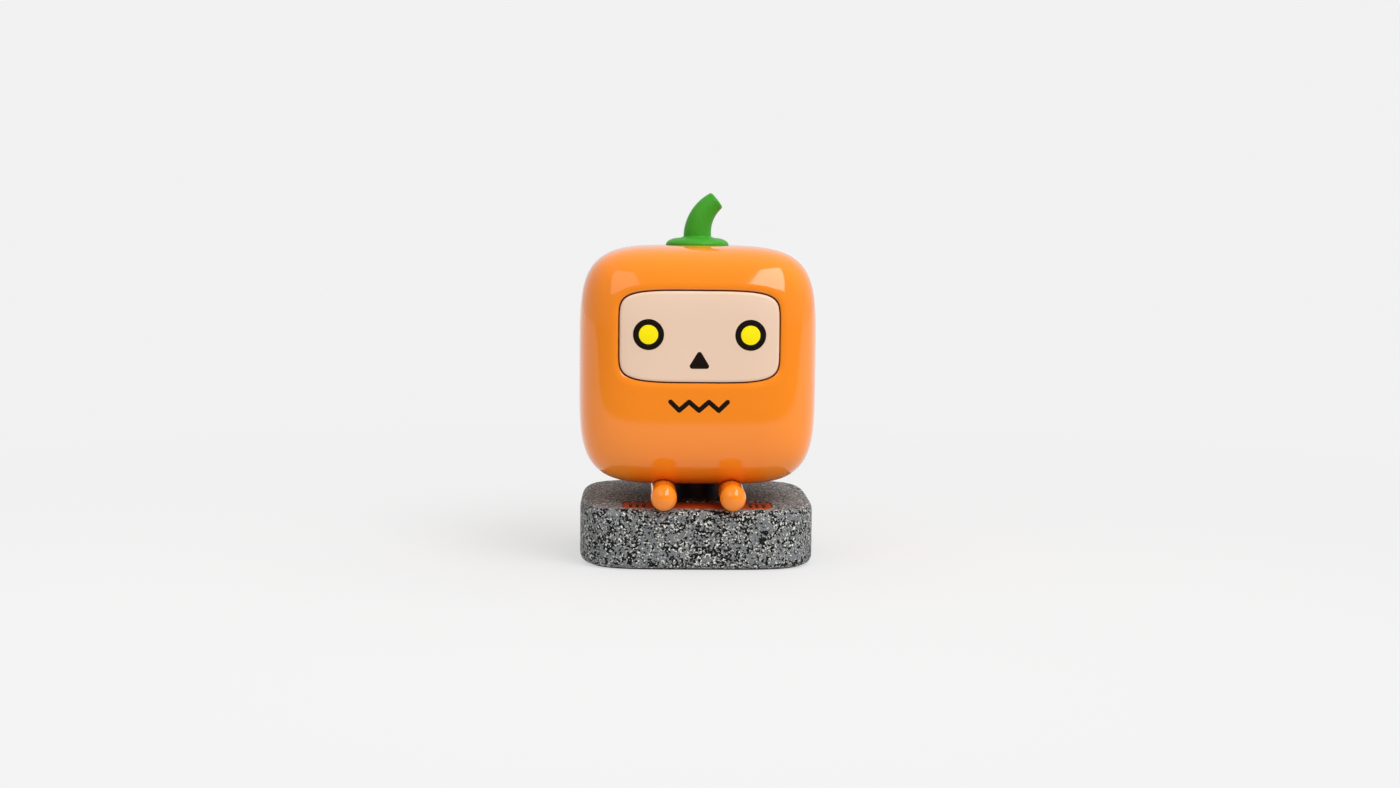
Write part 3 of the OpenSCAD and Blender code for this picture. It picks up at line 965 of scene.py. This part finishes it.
class TOY_OT_stem(BuildOperator, bpy.types.Operator):
    """Build the stem: a domed flange and a stalk that leans over to a blunt tip"""

    bl_idname = "toy.stem"
    bl_label = "Stem"

    def build(self, sizes):
        sides = 96
        low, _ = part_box("stem")
        seat = BODY.centre.z + BODY.half.z - SEAT_DROP + FIT
        flange, thick = -low.x, sizes.flange_thickness
        soft, edge = 0.3 * MM, 5 * MM
        foot, fillet = sizes.stalk_radius, 0.45 * MM
        dome = thick + 0.25 * MM
        profile = [(0, 0), (flange - 3 * soft, 0)]
        profile += arc((flange - soft, soft), soft, -math.pi / 2, math.pi / 2, 4)
        for k in range(1, 17):
            bend = math.pi / 2 * k / 16
            profile.append((flange - edge * (1 - math.cos(bend)),
                            soft + (thick - soft) * math.sin(bend)))
        inner, outer = foot + fillet, flange - edge
        for k in range(1, 4):
            share = k / 4
            rise = (dome - thick) * math.sin(math.pi / 2 * share)
            profile.append((outer + (inner - outer) * share, thick + rise))
        rings = turned_rings([(r, seat + z) for r, z in profile], sides)
        for k in range(9):
            bend = math.pi / 2 * k / 8
            height = dome + fillet * (1 - math.cos(bend))
            extra = fillet * (1 - math.sin(bend))
            rings.append(self.ring(sizes, seat, height, sides, extra))
        arch = sizes.bend_radius * sizes.bend
        start = dome + fillet
        end = sizes.stalk_foot + arch + sizes.stalk_tail
        tip, crown = 0.75 * MM, 0.12 * MM
        for k in range(1, 41):
            height = start + (end - tip - start) * k / 40
            rings.append(self.ring(sizes, seat, height, sides))
        for k in range(1, 9):
            bend = math.pi / 2 * k / 8
            height = end - tip * (1 - math.sin(bend))
            rings.append(self.ring(sizes, seat, height, sides, tip * (math.cos(bend) - 1)))
        for share in (0.7, 0.35, 0):
            height = end + crown * (1 - share * share)
            shrink = (share - 1) * (sizes.tip_radius - tip)
            rings.append(self.ring(sizes, seat, height, sides, shrink - tip))
        bm = bmesh.new()
        loft(bm, rings)
        settle(bm)
        stem = new_object(bm, "stem_looks")
        smooth(stem)
        hand_over(stem, finish("green_plastic"), "stem", "green_plastic", "stem")

    @staticmethod
    def ring(sizes, seat, along, sides, extra=0.0):
        """One ring of the stalk, at a distance along its centre line."""
        arch = sizes.bend_radius * sizes.bend
        past = along - sizes.stalk_foot
        lean = min(max(past / sizes.bend_radius, 0), sizes.bend)
        rest = past - arch if past > arch else min(past, 0)
        share = min(max(past / (arch + sizes.stalk_tail), 0), 1)
        radius = sizes.stalk_radius - (sizes.stalk_radius - sizes.tip_radius) * share ** STALK_TAPER
        radius = max(0.0, radius + extra)
        x = sizes.bend_radius * (1 - math.cos(lean)) + rest * math.sin(lean)
        z = sizes.stalk_foot + sizes.bend_radius * math.sin(lean) + rest * math.cos(lean)
        return [
            Vector((x + u * math.cos(lean), v, seat + z - u * math.sin(lean)))
            for u, v in circle(radius, sides)
        ]


class TOY_OT_legs(BuildOperator, bpy.types.Operator):
    """Build the two legs: tubes with a round front end, laid in channels under the body"""

    bl_idname = "toy.legs"
    bl_label = "Legs"

    def build(self, sizes):
        for side in ("left", "right"):
            x, z, radius, front, back = leg_place(side)
            edge = 0.4 * MM
            straight = back - front - edge
            profile = arc((0, radius), radius, -math.pi / 2, math.pi / 2, 20)
            profile += [(radius, radius + (straight - radius) * k / 6) for k in range(1, 6)]
            profile += arc((radius - edge, straight), edge, 0, math.pi / 2, 5)
            profile.append((0, back - front))
            bm = bmesh.new()
            loft(bm, lying_rings(profile, 80, x, z, front))
            settle(bm)
            leg = new_object(bm, f"leg_{side}_looks")
            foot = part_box(f"hip_pin_{side}")[0].y
            carve(leg, [lying_rod(HIP_RADIUS + FIT, x, z, foot, back + MM)])
            smooth(leg)
            hand_over(
                leg, finish("orange_vinyl"), f"leg_{side}", "orange_vinyl", f"leg_{side}"
            )


class TOY_OT_base_block(BuildOperator, bpy.types.Operator):
    """Build the stone-effect base with its uneven surface and its recesses"""

    bl_idname = "toy.base_block"
    bl_label = "Base block"

    def build(self, sizes):
        sides = 400
        low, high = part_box("base_block")
        half_u, half_v = (high.x - low.x) / 2, (high.y - low.y) / 2
        outline = squircle(half_u, half_v, BASE_POWER, BASE_POWER, sides)
        edge = sizes.base_edge
        steps = []
        for share in (0, 0.3, 0.6, 0.85):
            steps.append((share, 0, low.z))
        for k in range(7):
            bend = math.pi / 2 * k / 6
            steps.append((1, edge * (1 - math.sin(bend)), low.z + edge * (1 - math.cos(bend))))
        for k in range(1, 22):
            steps.append((1, 0, low.z + edge + (high.z - low.z - 2 * edge) * k / 22))
        for k in range(7):
            bend = math.pi / 2 * k / 6
            steps.append((1, edge * (1 - math.cos(bend)), high.z - edge * (1 - math.sin(bend))))
        for k in range(1, 37):
            steps.append((1 - k / 36, edge, high.z))
        rings = []
        for share, inset, z in steps:
            ring = grown(outline, -inset) if inset else outline
            rings.append([Vector((share * u, share * v, z)) for u, v in ring])
        bm = bmesh.new()
        loft(bm, rings)
        settle(bm)
        bm.normal_update()
        self.roughen(bm, sizes.grain)
        block = new_object(bm, "base_block_looks")
        pad_low, pad_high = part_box("base_pad")
        plate_low, plate_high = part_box("nameplate")
        post_low, post_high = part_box("seat_post")
        pad = squircle(pad_high.x + FIT, pad_high.y + FIT, BASE_POWER, BASE_POWER, 96)
        plate_v = (plate_low.y + plate_high.y) / 2
        plate = [
            (u, v + plate_v) for u, v in round_rect(
                plate_high.x + 3 * FIT, (plate_high.y - plate_low.y) / 2 + 3 * FIT,
                sizes.plate_corner,
            )
        ]
        carve(block, [
            tablet(pad, between(-5 * MM, pad_high.z), MM),
            tablet(plate, between(plate_low.z, high.z + CUT_PAST), MM),
            tablet(circle(post_high.x + FIT, 96), between(post_low.z, high.z + CUT_PAST), MM),
        ])
        smooth(block)
        hand_over(block, finish("stone_resin"), "base", "stone_resin", "base_block")

    @staticmethod
    def roughen(bm, grain):
        """Sinks the surface here and there, never above its true form."""
        for vert in bm.verts:
            place = vert.co / MM
            coarse = noise.noise(place * 0.55)
            fine = noise.noise(place * 1.3 + Vector((7, 3, 1)))
            sink = grain * min(max(0.5 + 0.45 * coarse + 0.45 * fine, 0), 1)
            vert.co -= vert.normal * sink


def between(bottom, top):
    """Puts a tablet's points level, between two heights."""
    return lambda u, v, depth: Vector((u, v, top if depth < MERGE else bottom))


def laid_level(top):
    return lambda u, v, depth: Vector((u, v, top - depth))


class TOY_OT_nameplate(BuildOperator, bpy.types.Operator):
    """Build the nameplate and the plain marking bars let into it"""

    bl_idname = "toy.nameplate"
    bl_label = "Nameplate"

    def build(self, sizes):
        low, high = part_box("nameplate")
        marks_low, marks_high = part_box("plate_marks")
        v_middle = (low.y + high.y) / 2
        outline = [
            (u, v + v_middle)
            for u, v in round_rect(high.x, (high.y - low.y) / 2, sizes.plate_corner)
        ]
        plate = new_object(
            tablet(outline, laid_level(high.z), high.z - low.z, 0.35 * MM), "nameplate_looks"
        )
        count, width, corner = 3, 1.1 * MM, 0.3 * MM
        pitch = 2 * width
        bars, pockets = bmesh.new(), []
        for side in (-1, 1):
            for k in range(count):
                u = side * (marks_high.x - width / 2 - k * pitch)
                border = round_rect(width / 2, (marks_high.y - marks_low.y) / 2, corner)
                place = [(u + a, v_middle + b) for a, b in border]
                depth = high.z - marks_low.z - 2 * FIT
                join(bars, tablet(place, laid_level(high.z - FIT), depth, 0.08 * MM))
                pockets.append(
                    tablet(grown(place, FIT), between(marks_low.z, high.z + MM), MM)
                )
        carve(plate, pockets)
        smooth(plate)
        # Its finish is the plate's orange with the shade under the body painted in.
        hand_over(plate, finish("plate_orange_painted_shade"), "base", "orange_vinyl", "nameplate")
        marks = new_object(bars, "plate_marks_looks")
        smooth(marks)
        hand_over(marks, finish("black_gloss"), "base", "black_gloss", "plate_marks")


class TOY_OT_fittings(BuildOperator, bpy.types.Operator):
    """Give the pad, post, plug, magnets and pins, which keep their own shape, their finishes"""

    bl_idname = "toy.fittings"
    bl_label = "Fittings"

    def build(self, sizes):
        repaint(finish("black_rubber"), "base_pad")
        repaint(finish("grey_plastic"), "seat_post")
        repaint(finish("orange_vinyl"), "closing_plug")
        repaint(finish("magnet_steel"), "base_magnet", "body_magnet")
        repaint(finish("natural_nylon"), "hip_pin_left", "hip_pin_right")


# ---- stage ----


CAMERA_PLACE = (-18.388 * MM, -682.421 * MM, 111.726 * MM)
CAMERA_LENS = 50.793
CAMERA_SENSOR = 36
CAMERA_YAW = math.radians(-1.664)
CAMERA_PITCH = math.radians(4.758)
CAMERA_ROLL = math.radians(0.536)
BACKDROP = 0.885
GLOW_SHARE = 0.6


def softbox(name, centre, across, up, width, tall, radiance):
    """A soft light; its centre is counted from the body's, and across and up are its sides."""
    light = bpy.data.lights.new(name, "AREA")
    light.shape, light.size, light.size_y = "RECTANGLE", width, tall
    light.energy = radiance * math.pi * width * tall
    lamp = bpy.data.objects.new(name, light)
    bpy.context.scene.collection.objects.link(lamp)
    across = Vector(across).normalized()
    out = across.cross(Vector(up)).normalized()
    turned = Matrix((across, out.cross(across), out)).transposed().to_4x4()
    lamp.matrix_world = Matrix.Translation(BODY.centre + Vector(centre)) @ turned
    lamp.visible_camera = False


class TOY_OT_stage(bpy.types.Operator):
    """Set up the pale floor, the soft studio lights, the surroundings and the camera"""

    bl_idname = "toy.stage"
    bl_label = "Stage"

    def execute(self, context):
        scene = context.scene
        self.floor(scene)
        self.surroundings(scene)
        softbox(
            "key_softbox", centre=(0.563, -0.722, 1.312), across=(0.353, 0.812, -0.465),
            up=(0.206, 0.417, 0.885), width=1.079, tall=1.567, radiance=5.1,
        )
        softbox(
            "fill_softbox", centre=(-0.637, -0.919, 1.144), across=(0.412, -0.822, 0.393),
            up=(-0.209, 0.335, 0.919), width=1.131, tall=1.303, radiance=1.3,
        )
        data = bpy.data.cameras.new("camera")
        data.lens, data.sensor_width, data.sensor_fit = CAMERA_LENS, CAMERA_SENSOR, "HORIZONTAL"
        camera = bpy.data.objects.new("camera", data)
        scene.collection.objects.link(camera)
        camera.matrix_world = (
            Matrix.Translation(CAMERA_PLACE)
            @ Matrix.Rotation(CAMERA_YAW, 4, "Z")
            @ Matrix.Rotation(math.pi / 2 - CAMERA_PITCH, 4, "X")
            @ Matrix.Rotation(CAMERA_ROLL, 4, "Z")
        )
        scene.camera = camera
        scene.view_settings.view_transform = "Standard"
        return {"FINISHED"}

    @staticmethod
    def floor(scene):
        bm = bmesh.new()
        bmesh.ops.create_grid(bm, x_segments=8, y_segments=8, size=12)
        floor = new_object(bm, "floor")
        f = material("studio_floor")
        place = f.place()
        away = f.node("ShaderNodeVectorMath", {"operation": "LENGTH"}, {0: place}, "Value")
        y = f.node("ShaderNodeSeparateXYZ", None, {0: place}, "Y")
        seen = f.node("ShaderNodeLightPath", output="Is Camera Ray")
        far = f.node("ShaderNodeMapRange", {"interpolation_type": "SMOOTHSTEP"},
                     {"Value": away, "From Min": 0.1, "From Max": 0.5, "To Min": GLOW_SHARE})
        front = f.node("ShaderNodeMapRange", {"interpolation_type": "SMOOTHSTEP"},
                       {"Value": y, "From Min": -0.25, "From Max": -0.32})
        dim = front * (1 - seen)
        glow = f.node("ShaderNodeEmission", None,
                      {"Color": (1, 1, 1, 1), "Strength": BACKDROP - (BACKDROP - 0.15) * dim})
        paper = f.node("ShaderNodeBsdfDiffuse", None, {"Color": rgba(scene.toy_colours.floor)})
        share = (far + dim).clamped()
        f.surface(f.node("ShaderNodeMixShader", None, {0: share, 1: paper, 2: glow}))
        floor.data.materials.append(f.owner)

    @staticmethod
    def surroundings(scene):
        world = bpy.data.worlds.new("studio")
        scene.world = world
        f = Finish(world)
        direction = f.node("ShaderNodeTexCoord", output="Generated")
        right, back, up = (
            f.node("ShaderNodeSeparateXYZ", None, {0: direction}, axis) for axis in "XYZ"
        )
        seen = f.node("ShaderNodeLightPath", output="Is Camera Ray")
        soft = f.node("ShaderNodeLightPath", output="Is Diffuse Ray")
        level = 0.45 + 0.3 * back + soft * (0.6 * up + 0.4 * right).clamped()
        strength = level + seen * (BACKDROP - level)
        f.surface(f.node("ShaderNodeBackground", None,
                         {"Color": (1, 1, 1, 1), "Strength": strength}))


# ---- add-on ----


PIECES = (
    TOY_OT_body_shell, TOY_OT_face_panel, TOY_OT_face_inlays, TOY_OT_stem, TOY_OT_legs,
    TOY_OT_base_block, TOY_OT_nameplate, TOY_OT_fittings, TOY_OT_stage,
)


class TOY_PT_pieces(bpy.types.Panel):
    """Lists the pieces of the toy and their sizes and colours"""

    bl_idname = "TOY_PT_pieces"
    bl_label = "Vinyl toy"
    bl_space_type = "VIEW_3D"
    bl_region_type = "UI"
    bl_category = "Vinyl Toy"

    def draw(self, context):
        for piece in PIECES:
            self.layout.operator(piece.bl_idname)
        for group in (context.scene.toy_sizes, context.scene.toy_colours):
            box = self.layout.box()
            for name in group.__annotations__:
                box.prop(group, name)


CLASSES = (ToySizes, ToyColours, *PIECES, TOY_PT_pieces)


def register():
    for kind in CLASSES:
        bpy.utils.register_class(kind)
    bpy.types.Scene.toy_sizes = bpy.props.PointerProperty(type=ToySizes)
    bpy.types.Scene.toy_colours = bpy.props.PointerProperty(type=ToyColours)


def unregister():
    del bpy.types.Scene.toy_colours
    del bpy.types.Scene.toy_sizes
    for kind in reversed(CLASSES):
        bpy.utils.unregister_class(kind)


def main():
    register()
    for piece in PIECES:
        group, name = piece.bl_idname.split(".")
        getattr(getattr(bpy.ops, group), name)()


if __name__ == "__main__":
    main()
